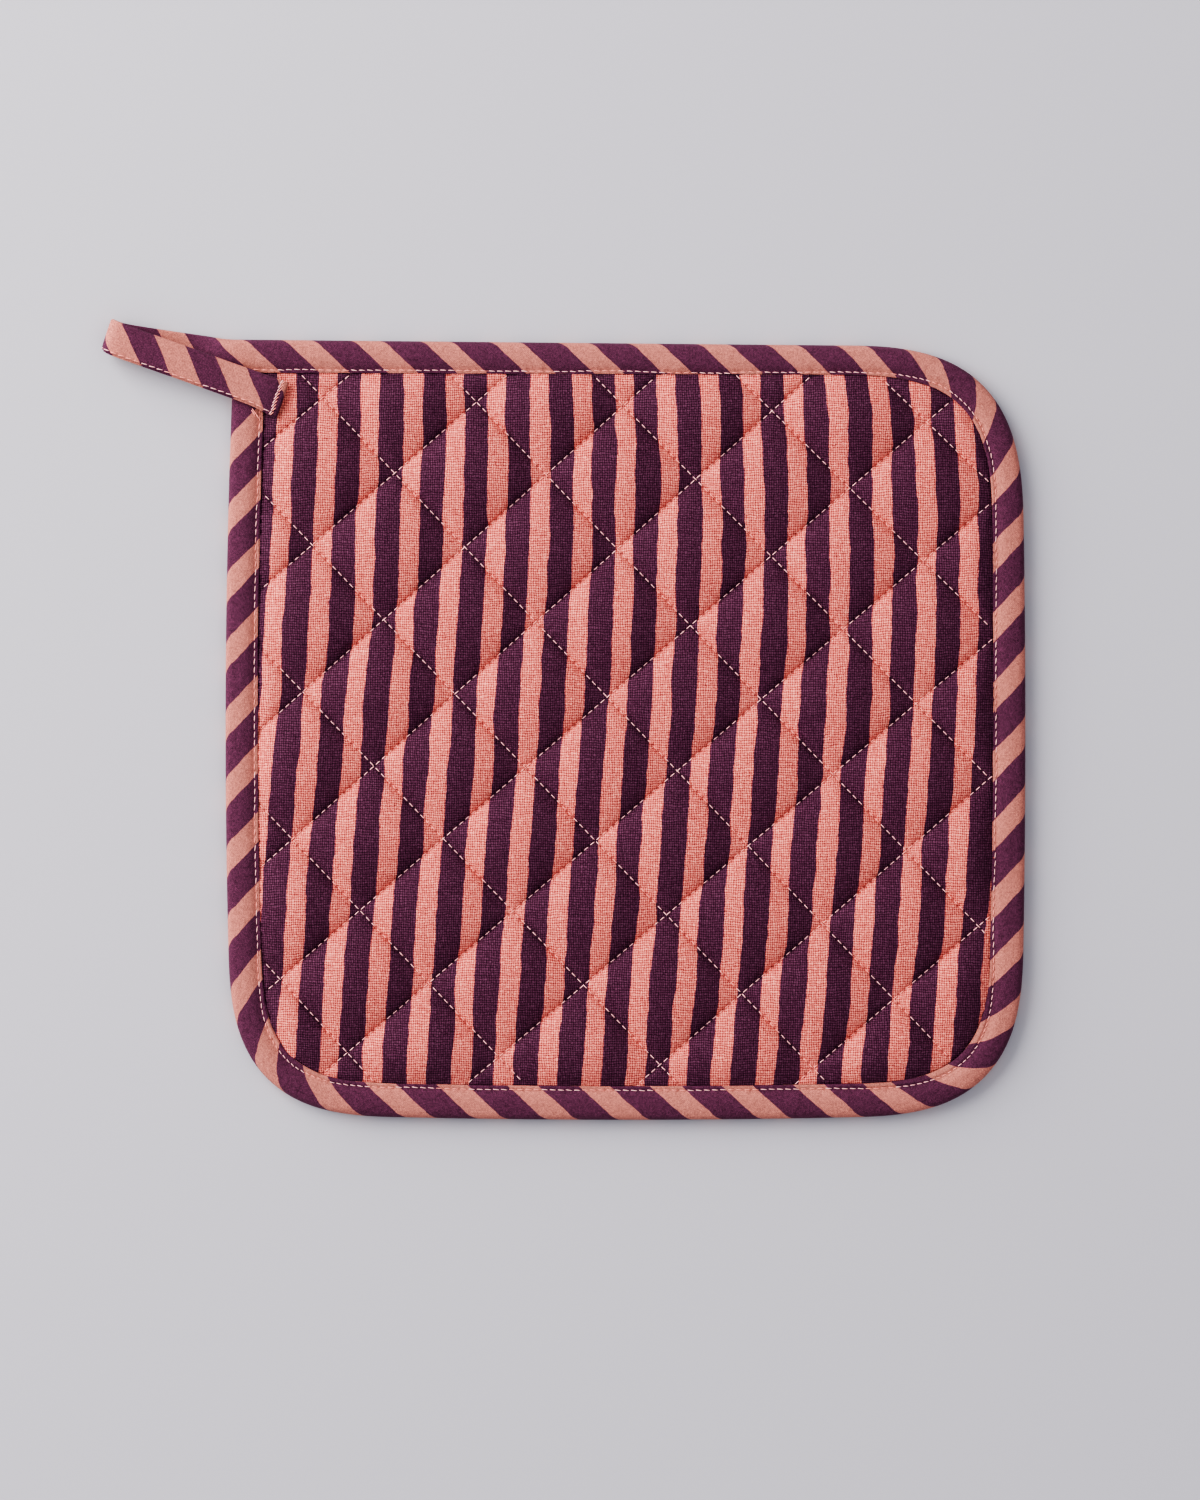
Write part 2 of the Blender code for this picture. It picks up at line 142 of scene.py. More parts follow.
# Where the stitching strays further in: how far, about which share of the stretch and over what share of it.
StitchDrift = namedtuple("StitchDrift", "amount middle reach")
STITCH_DRIFTS = {
    "bottom_left": StitchDrift(0.6 * MM, 0.5, 0.30),
    "bottom_right": StitchDrift(1.2 * MM, 0.5, 0.30),
    "top_right": StitchDrift(0.6 * MM, 0.5, 0.30),
    "top": StitchDrift(-0.45 * MM, 0.21, 0.07),
}
NO_DRIFT = StitchDrift(0.0, 0.5, 1.0)
STITCHING_WANDER = 0.25 * MM  # all round the rim
EDGE_WANDER = 0.12 * MM  # of the tape's inner edge
START_GAP = 0.3 * MM  # between the tape's start and its top stretch
TAPE_STEP = 0.75 * MM  # from one section of the tape to the next
CORNER_LENGTH = 1.7  # of a rounded corner whose reach is 1
TAPE_LEAF = 1.15 * MM  # the thickness of the tape's two turned-in layers
LOOP_LEAF = 0.62 * MM
LOOP_THINNER = 4.0 * MM  # than the rim, where it is flat
LOOP_BACK_NARROWER = 0.45 * MM
END_SPREAD = 1.1 * MM  # how much wider the loop's very end is
END_SPREAD_REACH = 5.0 * MM

# The tape's stripes are counted in repeats. A coral stripe's middle lies at a quarter of each.
ON_CORAL = 0.25
ON_AUBERGINE = 0.75
CORAL_SHARE = 0.435  # of a repeat
LOOP_CORAL_SHARE = 0.51
CORAL_WIDENS = (837.0, 857.0)  # in millimetres along the tape, past the loop's fold
LOOP_REPEAT = 17.9 * MM  # of the stripes along the loop
LOOP_SHIFT = 0.10  # of a repeat, by which they run ahead there
LOOP_STARTS_AT = 1.5 * MM  # from the corner to its first section
REPEATS_ACROSS = 57.0  # by which the stripes shift for each metre across the tape
LOOP_REPEATS_ACROSS = 50.0

# The relief of the tape's outside, in millimetres.
GROOVE_DEPTH = 0.40  # along the stitching, which pulls hardest at each needle hole
GROOVE_PULL = 0.2
GROOVE_OUT, GROOVE_IN = 0.85, 0.55  # its reach towards the fold and away from it
LIP_HEIGHT, LIP_AT, LIP_REACH = 0.16, 0.65, 0.30  # of the swelling beside it
SLOPE_FROM = 3.6  # in from the fold, where the tape starts to slope down to its stitching
SLOPE_FACE, SLOPE_BACK = 0.70, 0.30
FOLD_DROP = 0.36  # of the face towards the fold
FOLD_DROP_FROM, FOLD_DROP_OVER = 4.6, 3.6  # how far in it starts, and its width
FLAT_LOOP_RELIEF = 0.14  # how much of all this shows where the tape is pressed flat

# Rows of points across the tape: shares of the way from the fold to the inner edge, and distances from that.
FLANK_SHARES = (0.0, 0.15, 0.3, 0.45, 0.6, 0.72, 0.82)
ROWS_BY_EDGE = (1.5 * MM, 1.1 * MM, 0.7 * MM)
EDGE_ROUNDING = 0.38  # of the leaf's thickness

FLOOR_OF_SEAM = 0.2 * MM  # half the width of a sewn channel's floor
RISE_UNDER_TAPE = 0.15 * MM  # how far under the tape's edge the filling starts to rise
BACK_RISE_FROM = 0.9 * MM  # and how far inside it on the underside, where the tape is wider
DIP_UNDER_TAPE = 0.8 * MM  # of the face
DIP_FROM, DIP_OVER = 0.3 * MM, 1.2 * MM  # how far beside the tape it starts, and its width
SLACK = 0.28 * MM  # how far the cloth beside a seam lies from where it would in flat cloth
SLACK_POWER = 0.43  # below 1: it is greatest close to the seam
CROWNS_DIFFER = 0.10
PUCKER_HEIGHT = 0.30 * MM
RISING_PUCKERS = (3.2 * MM, 3.6 * MM)  # how far they reach from a seam, and how long they are along it
FALLING_PUCKERS = (3.0 * MM, 3.4 * MM)
HELD_FLAT = 0.6 * MM  # beside the stitches, where nothing puckers
SOFT_HEIGHT = 0.10 * MM
# Rows of points beside a quilting line, in millimetres from it.
SEAM_OFFSETS = (0.0, 0.35, 0.8, 1.4, 2.2, 3.2, 4.5, 6.0, 7.7, 9.6, 11.8)
PANEL_HIDDEN_EDGE = 3.3 * MM  # how far in from the rim the panel ends, inside the folded tape
PANEL_WITHIN = 130.0 * MM  # of the origin, each way

STITCH_PITCH = 2.23 * MM
STITCH_SHOWN = 1.6 * MM
TAPE_STITCH_SHOWN = 1.8 * MM
THREAD_RADII = {"quilting": 0.15 * MM, "tape": 0.135 * MM, "tack": 0.15 * MM}
QUILTING_LIFT = 0.12 * MM  # how far the thread's middle stands off the seam's floor
QUILTING_ENDS = 0.6 * MM  # before the tape
TAPE_STITCHING_ENDS = 3.6 * MM  # before the loop's end

# The two threads of a turn of the zigzag on the loop's end, in millimetres: half of what each covers along
# the tape and across it, how far it is set towards the end, how deep it is sunk; then the stripe place that
# picks its colour: aubergine's for the plain thread, coral's for the darker one, which is painted shade.
TACK_THREADS = ((0.24, 0.70, -0.32, 0.02, ON_AUBERGINE), (0.34, 0.62, 0.16, -0.04, ON_CORAL))
TACK_TURNS = 9
TACK_FROM_END = 1.9 * MM
TACK_INSETS = (0.7 * MM, 0.8 * MM)  # of the first turn from the inner edge and of the last from the fold
TACK_STRAY = 0.45 * MM
# The stitches back where the tape's sewing starts: where each starts along the tape and in from its fold,
# and how far along it runs.
BACK_STITCHES = ((9.5, 5.8, 1.5), (9.9, 5.6, 1.6), (10.3, 6.4, 1.7), (11.2, 7.0, 1.2))
BACK_STITCH_SLANT = 0.75
BACK_STITCH_SUNK = 0.25 * MM

# The cloths, in millimetres.
YARN_ACROSS = 0.61  # from one upright yarn of the panel's to the next
YARN_UP = 0.67
STRIPE_MIDDLE = (-2.56, 0.0665, -2.53e-4, -2.0e-6)  # the middle coral stripe's X, in powers of Y
STRIPE_REPEAT = (12.0, -0.002, -2.2e-5)  # from one coral stripe to the next, likewise
STRIPE_CORAL = 5.25  # how wide a coral stripe is
STRIPE_BLUR = 0.14
YARN_SPREAD = 0.14  # of the yarns' brightness
HOLE_RADII = (0.22, 0.55)  # of a needle hole, and of the pulled cloth round it
TAPE_YARN = 0.52
TAPE_SPREAD = 0.06
TAPE_STRIPE_BLUR = 0.007  # of a repeat

CAMERA_LOOKS_AT = (-6.9 * MM, -5.0 * MM)
VIEW_HEIGHT = 412.5 * MM  # what the picture's long side takes in
VIEW_LEVEL = 4.0 * MM  # the height at which it does
LENS = 100.0
SENSOR = 36.0


def between(start, end, share):
    return start + (end - start) * share


def noise_at(*place):
    """Gradient noise, from -1 to 1."""
    return noise.noise(Vector(place))


def lengths_to(points):
    """How far along the line through the points each of them lies."""
    return np.concatenate([[0.0], np.cumsum(np.linalg.norm(np.diff(points, axis=0), axis=1))])


def placed(name, data):
    """A new object of this data in the scene."""
    item = bpy.data.objects.new(name, data)
    bpy.context.scene.collection.objects.link(item)
    return item


def bell(distance, reach):
    """1 at no distance, and little beyond the reach."""
    return np.exp(-((distance / reach) ** 2))


# ---- the rim


def bowed(points):
    """The points moved out by their side's bow, which is full in its middle and nothing at its ends."""
    across = 2 * (points[:, 0] - LEFT) / (RIGHT - LEFT) - 1
    along = 2 * (points[:, 1] - BOTTOM) / (TOP - BOTTOM) - 1
    out_x = np.where(across > 0, BOW_RIGHT, -BOW_LEFT) * np.abs(across) ** 3 * np.maximum(0, 1 - along**2)
    out_y = np.where(along > 0, 0.0, -BOW_BOTTOM) * np.abs(along) ** 3 * np.maximum(0, 1 - across**2)
    return points + np.stack([out_x, out_y], axis=1)


def side(start, end, steps):
    """Points from start to end without the last."""
    share = np.arange(steps)[:, None] / steps
    return between(np.array(start), np.array(end), share)


def corner(centre, reach, first_angle, steps):
    """Points and outward directions of a quarter turn anticlockwise, without the last."""
    angle = np.radians(first_angle + 90 * np.arange(steps) / steps)
    ray = np.stack([np.cos(angle), np.sin(angle)], axis=1)
    scale = (np.abs(ray) ** CORNER_POWER).sum(axis=1, keepdims=True) ** (-1 / CORNER_POWER)
    outwards = np.sign(ray) * np.abs(ray) ** (CORNER_POWER - 1)
    outwards /= np.linalg.norm(outwards, axis=1, keepdims=True)
    return np.array(centre) + ray * reach * scale, outwards


Rim = namedtuple("Rim", "points inwards width repeats stitched_at")


def rim(step, square_corner):
    """The rim's stations anticlockwise from the top left corner, about a step apart.

    With square_corner they close on themselves, with a mitre at that corner. Without it they are the tape's:
    it starts below the top stretch and ends, with one more station, at the corner.
    """
    widths = {start.stretch: start.width for start in TAPE_STARTS}
    loop_width = widths["loop"]
    top_left = (LEFT, TOP + TOP_LEFT_RISE)
    left_start = top_left if square_corner else (LEFT, top_left[1] - loop_width - START_GAP)
    mitre_left = loop_width / widths["left"] if square_corner else 0.0
    mitre_top = widths["left"] / loop_width if square_corner else 0.0
    left_end = (LEFT, BOTTOM + REACH_BOTTOM_LEFT)
    bottom = [(LEFT + REACH_BOTTOM_LEFT, BOTTOM), (RIGHT - REACH_BOTTOM_RIGHT, BOTTOM)]
    right = [(RIGHT, BOTTOM + REACH_BOTTOM_RIGHT), (RIGHT, TOP - REACH_TOP_RIGHT)]
    top_start = (RIGHT - REACH_TOP_RIGHT, TOP)
    sides = {
        "left": (left_start, left_end, (1.0, -mitre_left), (1.0, 0.0)),
        "bottom": (*bottom, (0.0, 1.0), (0.0, 1.0)),
        "right": (*right, (-1.0, 0.0), (-1.0, 0.0)),
        "top": (top_start, top_left, (0.0, -1.0), (mitre_top, -1.0)),
    }
    corners = {
        "bottom_left": ((left_end[0] + REACH_BOTTOM_LEFT, left_end[1]), REACH_BOTTOM_LEFT, 180.0),
        "bottom_right": ((bottom[1][0], BOTTOM + REACH_BOTTOM_RIGHT), REACH_BOTTOM_RIGHT, 270.0),
        "top_right": ((top_start[0], TOP - REACH_TOP_RIGHT), REACH_TOP_RIGHT, 0.0),
    }
    rows = []
    for now, following in zip(TAPE_STARTS, TAPE_STARTS[1:]):
        if now.stretch in sides:
            start, end, inwards_start, inwards_end = sides[now.stretch]
            steps = max(4, round(math.dist(start, end) / step))
            points = side(start, end, steps)
            inwards = side(inwards_start, inwards_end, steps)
        else:
            centre, reach, first_angle = corners[now.stretch]
            steps = max(8, round(CORNER_LENGTH * reach / step))
            points, outwards = corner(centre, reach, first_angle, steps)
            inwards = -outwards
        share = np.arange(steps) / steps
        strayed = STITCH_DRIFTS.get(now.stretch, NO_DRIFT)
        drift = strayed.amount * bell(share - strayed.middle, strayed.reach)
        width, repeats, stitched_at = between(np.array(now[1:]), np.array(following[1:]), share[:, None]).T
        rows.append(np.column_stack([bowed(points), inwards, width, repeats, stitched_at + drift]))
    if not square_corner:
        last = TAPE_STARTS[-1]
        rows.append(np.array([[*top_left, 0.0, -1.0, last.width, last.repeats, last.stitched_at]]))
    table = np.vstack(rows)
    return Rim(table[:, 0:2], table[:, 2:4], *table[:, 4:].T)


def depth_inside(points, outline):
    """For each point, its distance from the closed anticlockwise outline, positive inside it."""
    edges = np.roll(outline, -1, axis=0) - outline
    offsets = points[:, None, :] - outline[None, :, :]
    shares = (offsets * edges).sum(axis=2) / (edges**2).sum(axis=1)
    distances = np.linalg.norm(offsets - np.clip(shares, 0.0, 1.0)[..., None] * edges, axis=2)
    closest = distances.argmin(axis=1)
    rows = np.arange(len(points))
    edge, offset = edges[closest], offsets[rows, closest]
    inside = edge[:, 0] * offset[:, 1] - edge[:, 1] * offset[:, 0] > 0
    return np.where(inside, 1.0, -1.0) * distances[rows, closest]


COARSE_RIM = rim(8 * MM, square_corner=True)


def depth_from_tape(points):
    return depth_inside(points, COARSE_RIM.points + COARSE_RIM.inwards * COARSE_RIM.width[:, None])


# ---- the quilting


def quilt_line(lines, index):
    """The angles and distances of the lines at these indices, which may lie between or beyond the lines."""
    table = np.array(lines)
    first = np.clip(np.floor(index).astype(int), 0, len(lines) - 2)
    angle, distance = between(table[first], table[first + 1], (index - first)[..., None]).T
    return np.radians(angle), distance * MM


def normals(angle):
    return np.stack([-np.sin(angle), np.cos(angle)], axis=-1)


Seam = namedtuple("Seam", "line distance half along")


def nearest_seam(lines, points):
    """For each point: the nearest line's index, the signed distance from it, half the way from the line
    before the point to the one after it, and how far along the line the point lies."""
    index = np.arange(-1, len(lines) + 1)
    angle, distance = quilt_line(lines, index.astype(float))
    offsets = points @ normals(angle).T - distance
    rows = np.arange(len(points))
    before = np.clip((offsets >= 0).sum(axis=1) - 1, 0, len(index) - 2)
    above, below = offsets[rows, before], offsets[rows, before + 1]
    nearer = np.where(above < -below, before, before + 1)
    along = (points * np.stack([np.cos(angle[nearer]), np.sin(angle[nearer])], axis=1)).sum(axis=1)
    return Seam(index[nearer], np.where(nearer == before, above, below), (above - below) / 2, along)


def puff(share):
    """How full the filling is at this share of the way from a seam to the puff's middle."""
    return np.sin(np.pi / 2 * np.clip(share, 0.0, 1.0)) ** PUFF_POWER


def seam_share(seam):
    return (np.abs(seam.distance) - FLOOR_OF_SEAM) / (seam.half - FLOOR_OF_SEAM)


def noise_over(points, size, seed):
    """Noise with bumps of about this size over the panel."""
    return np.array([noise_at(*point, seed) for point in points / size])


def puckers(seam, reach, length):
    """Little folds that run away from a seam: full beside it and gone past the reach."""
    distance = np.abs(seam.distance)
    fade = bell(distance, reach) * (1 - bell(distance, HELD_FLAT))
    across = seam.distance / (4 * reach) + 7.3 * seam.line
    return fade * np.array([noise_at(*place) for place in zip(seam.along / length, across, 3.1 * seam.line)])


# ---- meshes


def new_piece(name, points, faces, attributes):
    """A smooth mesh object, with its named attributes of one or of two numbers a point."""
    mesh = bpy.data.meshes.new(name)
    mesh.from_pydata(points.tolist(), [], faces)
    for key, values in attributes.items():
        if values.ndim == 1:
            mesh.attributes.new(key, "FLOAT", "POINT").data.foreach_set("value", values.astype(np.float32))
        else:
            padded = np.hstack([values, np.zeros((len(values), 1))]).astype(np.float32)
            mesh.attributes.new(key, "FLOAT_VECTOR", "POINT").data.foreach_set("vector", padded.ravel())
    mesh.shade_smooth()
    return placed(name, mesh)


def lattice_rows(lines):
    """The indices of the rows of points along a family of lines, close together beside each line."""
    table = np.array([line.distance for line in lines])
    spacing = np.diff(table).mean()
    beside = np.array(SEAM_OFFSETS) / spacing
    shares = np.concatenate([beside, [0.5], 1 - beside[:0:-1]])
    return (np.arange(-1, len(lines))[:, None] + shares).ravel()


def panel_lattice():
    """The panel's points seen from above and the cells between them, four corners each."""
    rising, falling = lattice_rows(RISING_LINES), lattice_rows(FALLING_LINES)
    angle_a, distance_a = quilt_line(RISING_LINES, rising)
    angle_b, distance_b = quilt_line(FALLING_LINES, falling)
    normal_a, normal_b = normals(angle_a)[:, None, :], normals(angle_b)[None, :, :]
    distance_a, distance_b = distance_a[:, None], distance_b[None, :]
    determinant = normal_a[..., 0] * normal_b[..., 1] - normal_a[..., 1] * normal_b[..., 0]
    x = (distance_a * normal_b[..., 1] - distance_b * normal_a[..., 1]) / determinant
    y = (normal_a[..., 0] * distance_b - normal_b[..., 0] * distance_a) / determinant
    points = np.stack([x, y], axis=-1).reshape(-1, 2)
    near = (np.abs(points) < PANEL_WITHIN).all(axis=1)
    inside = np.zeros(len(points), bool)
    inside[near] = depth_inside(points[near], COARSE_RIM.points) > PANEL_HIDDEN_EDGE
    index = np.arange(len(points)).reshape(len(rising), len(falling))
    cells = np.stack([index[:-1, :-1], index[1:, :-1], index[1:, 1:], index[:-1, 1:]], axis=-1).reshape(-1, 4)
    cells = cells[inside[cells].all(axis=1)]
    used, cells = np.unique(cells, return_inverse=True)
    cells = cells.reshape(-1, 4)
    corners = points[used][cells]
    if np.cross(corners[0, 1] - corners[0, 0], corners[0, 2] - corners[0, 1]) < 0:
        cells = cells[:, ::-1]
    return points[used], cells


def border(cells):
    """The directed edges of the cells that no other cell shares."""
    edges = np.stack([cells, np.roll(cells, -1, axis=1)], axis=-1).reshape(-1, 2)
    key = edges[:, 0].astype(np.int64) * (edges.max() + 1) + edges[:, 1]
    back = edges[:, 1].astype(np.int64) * (edges.max() + 1) + edges[:, 0]
    return edges[~np.isin(key, back)]


def panel_heights(points, rising, falling):
    """The face's and the underside's height at each point."""
    from_tape = depth_from_tape(points)
    quilted = puff(seam_share(rising)) * puff(seam_share(falling))
    full = quilted * puff((from_tape + RISE_UNDER_TAPE) / (RIM_RISE + RISE_UNDER_TAPE))
    full_below = quilted * puff((from_tape - BACK_RISE_FROM) / (RIM_RISE - BACK_RISE_FROM))
    pressed = np.exp(-((np.linalg.norm(points - TACK, axis=1) / TACK_REACH) ** 4))
    uneven = 1 + CROWNS_DIFFER * noise_over(points, 26 * MM, 0.7)
    folds = puckers(rising, *RISING_PUCKERS) + puckers(falling, *FALLING_PUCKERS)
    soft = noise_over(points, 7 * MM, 4.2)
    face = SEAM_FACE + CROWN_FACE * full * uneven * (1 - pressed)
    face += (PUCKER_HEIGHT * folds + SOFT_HEIGHT * soft) * np.clip(full * 2, 0, 1) * (1 - pressed)
    face -= DIP_UNDER_TAPE * np.clip((DIP_FROM - from_tape) / DIP_OVER, 0, 1)
    under = np.maximum(0.0, SEAM_UNDER - CROWN_UNDER * full_below)
    return face, under


def quilted_cloth():
    points, cells = panel_lattice()
    rising, falling = nearest_seam(RISING_LINES, points), nearest_seam(FALLING_LINES, points)
    face, under = panel_heights(points, rising, falling)
    count = len(points)
    both = np.vstack([np.column_stack([points, height]) for height in (face, under)])
    start, end = border(cells).T
    walls = np.stack([end, start, start + count, end + count], axis=1)
    faces = np.vstack([cells, cells[:, ::-1] + count, walls])
    slack = cloth_slack(rising, falling, RISING_LINES) + cloth_slack(falling, rising, FALLING_LINES)
    slack *= puff(depth_from_tape(points) / RIM_RISE)[:, None] / MM
    attributes = {"slack": np.vstack([slack, slack])}
    for name, seam in (("rising_seam", rising), ("falling_seam", falling)):
        stitches = (seam.along - stitch_offset(seam.line)) / STITCH_PITCH
        values = np.stack([stitches, np.abs(seam.distance) / MM], axis=1)
        attributes[name] = np.vstack([values, values])
    return new_piece("quilted_cloth", both, faces.tolist(), attributes)


def cloth_slack(seam, other, lines):
    """How far ahead of its place seen from above the cloth runs, as steep flanks beside seams take it up."""
    share = np.clip(seam_share(seam), 0.0, 1.0) ** SLACK_POWER
    ahead = SLACK * np.sin(np.pi * share) * np.sign(seam.distance) * puff(seam_share(other))
    angle, _ = quilt_line(lines, seam.line.astype(float))
    return ahead[:, None] * normals(angle)


def stitch_offset(line):
    """Where along a quilting line its stitches are counted from, different for each line."""
    return (line * 0.37 % 1.0) * STITCH_PITCH


# ---- the tape


def smooth_rows(rows, step):
    """The rows with others between them, about a step apart, on a smooth curve through them."""
    values = [np.array(row) for row in rows]
    padded = [2 * values[0] - values[1], *values, 2 * values[-1] - values[-2]]
    result = []
    for i in range(1, len(padded) - 2):
        a, b, c, d = padded[i - 1 : i + 3]
        steps = max(2, round(float(np.linalg.norm((c - b)[:3])) * MM / step))
        for t in np.arange(steps) / steps:
            squared = (2 * a - 5 * b + 4 * c - d) * t**2
            cubed = (3 * b - a - 3 * c + d) * t**3
            result.append((2 * b + (c - a) * t + squared + cubed) / 2)
    result.append(values[-1])
    return np.array(result)


TapeStation = namedtuple("TapeStation", "edge across up width back height leaf repeats lean stitched_at")


def rim_tape():
    """The tape's stations round the rim. edge is a point of its folded edge, halfway up."""
    stations = rim(TAPE_STEP, square_corner=False)
    for point, inwards, width, repeats, stitched_at in zip(*stations):
        strayed = STITCHING_WANDER * noise_at(*(point / (9 * MM)), 2.6)
        place = (Vector((*point, TAPE_TOP / 2)), Vector((*-inwards, 0.0)), Vector((0.0, 0.0, 1.0)))
        sizes = (width, width + TAPE_MORE_ON_BACK, TAPE_TOP, TAPE_LEAF)
        yield TapeStation(*place, *sizes, repeats, REPEATS_ACROSS, stitched_at + strayed)


def loop_tape():
    """The tape's stations from the corner out to the fold and back to the tack."""
    start = TAPE_STARTS[-1]
    rows = smooth_rows(LOOP_ROWS, TAPE_STEP)[2:]
    middles = rows[:, :3] * MM
    travelled = lengths_to(middles)
    for i, (direction, width, height) in enumerate(rows[:, 3:] * (1.0, MM, MM)):
        travel = Vector(middles[min(i + 1, len(rows) - 1)] - middles[max(i - 1, 0)])
        across = Vector((math.cos(math.radians(direction)), math.sin(math.radians(direction)), 0.0))
        up = across.cross(travel).normalized()
        to_end = travelled[-1] - travelled[i]
        spread = END_SPREAD * bell(to_end, END_SPREAD_REACH)
        flat = min(1.0, max(0.0, (TAPE_TOP - height) / LOOP_THINNER))
        height *= end_roll(to_end)
        place = (Vector(middles[i]) + across * (width / 2), across, up)
        back = between(width + TAPE_MORE_ON_BACK, width + spread - LOOP_BACK_NARROWER, flat)
        leaf = min(between(TAPE_LEAF, LOOP_LEAF, flat), 0.45 * height)
        repeats = start.repeats + (travelled[i] + LOOP_STARTS_AT) / LOOP_REPEAT + LOOP_SHIFT * flat
        lean = between(REPEATS_ACROSS, LOOP_REPEATS_ACROSS, flat)
        yield TapeStation(*place, width + spread, back, height, leaf, repeats, lean, start.stitched_at)


def end_roll(to_end):
    """How thick the loop is against its usual thickness, this far from its turned-under end: it bulges there,
    is pinched under the zigzag, and rounds off at the very end."""
    bulge = 0.35 * bell(to_end - 0.8 * MM, 0.6 * MM)
    pinched = -0.40 * bell(to_end - TACK_FROM_END, 0.8 * MM)
    rounded = min(1.0, math.sqrt(max(0.02, to_end / (0.6 * MM))))
    return (1 + bulge + pinched) * rounded


def nose_of(station):
    """How deep the tape's rounded fold is, and the way round its upper half."""
    half = station.height / 2
    nose = min(NOSE_DEPTH, 0.9 * half)
    return nose, math.pi / 2 * math.sqrt((nose**2 + half**2) / 2)


TapePoint = namedtuple("TapePoint", "inset height around")


def tape_outline(station):
    """The tape's section: its outside from the back's inner edge round to the face's, then its inside.

    inset is from the folded edge, height from the middle, and around the way round the outside from the fold,
    less than nothing on the face.
    """
    half, leaf = station.height / 2, station.leaf
    nose, quarter = nose_of(station)
    edge = EDGE_ROUNDING * leaf
    inner_nose = max(nose - leaf, 0.15 * nose)
    inner_half = max(half - leaf, 0.04 * half)
    outer, inner = [], []
    for width, sign in ((station.back, -1), (station.width, 1)):
        insets = [between(nose, width, share) for share in FLANK_SHARES]
        insets += [width - from_edge for from_edge in ROWS_BY_EDGE]
        insets = sorted(insets) + [width - 0.35 * edge, width]
        drops = [0.0] * (len(insets) - 2) + [0.25 * edge, edge]
        rows = [(inset, half - drop, quarter + inset - nose) for inset, drop in zip(insets, drops)]
        outer.append([TapePoint(inset, sign * height, -sign * around) for inset, height, around in rows])
        rows = [
            (width, inner_half + 0.3 * edge, quarter + width),
            (width - edge, inner_half, quarter + width),
            (between(nose, width, 0.5), inner_half, quarter + width / 2),
        ]
        inner.append([TapePoint(inset, sign * height, -sign * around) for inset, height, around in rows])
    turn, inner_turn = [], []
    for angle in range(-75, 90, 15):
        turned = math.radians(angle)
        power = 2 / NOSE_POWER if angle > 0 else 1.0
        inset = nose * (1 - math.cos(turned) ** power)
        height = math.copysign(half * abs(math.sin(turned)) ** power, angle)
        turn.append(TapePoint(inset, height, -quarter * angle / 90))
    for angle in (90, 45, 0, -45, -90):
        turned = math.radians(angle)
        inset = nose - inner_nose * math.cos(turned)
        inner_turn.append(TapePoint(inset, inner_half * math.sin(turned), -quarter * angle / 90))
    return outer[0][::-1] + turn + outer[1], inner[1] + inner_turn + inner[0][::-1]


def tape_relief(station, s, point):
    """How far the tape's outside is pressed in at this point of its section, this far along it."""
    stitch = station.width - station.stitched_at
    from_stitch = point.inset - stitch
    reach = GROOVE_IN if from_stitch > 0 else GROOVE_OUT
    pull = 1 - GROOVE_PULL + GROOVE_PULL * math.cos(2 * math.pi * s / STITCH_PITCH)
    groove = GROOVE_DEPTH * pull * bell(from_stitch, reach * MM)
    groove -= LIP_HEIGHT * bell(from_stitch - LIP_AT * MM, LIP_REACH * MM)
    slope = min(1.0, max(0.0, (point.inset - SLOPE_FROM * MM) / (stitch - SLOPE_FROM * MM)))
    outwards = min(1.0, max(0.0, (FOLD_DROP_FROM * MM - point.inset) / (FOLD_DROP_OVER * MM)))
    sunk = FOLD_DROP * outwards if point.around < 0 and point.height > 0 else 0.0
    sunk += (SLOPE_BACK if point.around > 0 else SLOPE_FACE) * slope * slope
    around = point.around / MM
    ripple = 0.20 * noise_at(s / (8 * MM), around / 7, 1.7)
    fine = 0.10 * noise_at(s / (2.6 * MM), around / 5, 8.3)
    gathers = 0.16 * noise_at(s / (2.1 * MM), around / 9, 3.9)
    shown = math.sqrt(math.sin(math.pi * min(1.0, point.inset / station.width)))
    bumps = (ripple + fine) * shown + gathers * bell(from_stitch, 2.2 * MM)
    if point.around > 0:
        bumps = abs(bumps)
    standing = between(FLAT_LOOP_RELIEF, 1.0, min(1.0, station.height / TAPE_TOP))
    return (groove + sunk + bumps) * MM * standing


def bias_tape():
    stations = [*rim_tape(), *loop_tape()]
    travelled = lengths_to([station.edge for station in stations])
    points, repeats, places = [], [], []
    for station, s in zip(stations, travelled):
        outside, inside = tape_outline(station)
        for number, point in enumerate(outside + inside):
            face = point.around < 0
            height = point.height
            if number < len(outside):
                pressed = tape_relief(station, s, point)
                height += -pressed if face else pressed
            wander = EDGE_WANDER * noise_at(s / (11 * MM), 5.0 if face else -5.0, 2.2)
            inset = point.inset + wander * point.inset / station.width
            points.append(station.edge - station.across * inset + station.up * height)
            repeats.append(station.repeats - station.lean * point.around)
            places.append((s / MM, point.around / MM))
    ring = len(outside) + len(inside)
    faces = []
    last = (len(stations) - 1) * ring
    for first in range(0, last, ring):
        for i in range(ring):
            a, b = first + i, first + (i + 1) % ring
            faces.append((a, a + ring, b + ring, b))
    faces += [list(range(ring)), [last + i for i in reversed(range(ring))]]
    attributes = {"repeats": np.array(repeats), "place": np.array(places)}
    return new_piece("bias_tape", np.array(points), faces, attributes), stations, travelled


# ---- sewing


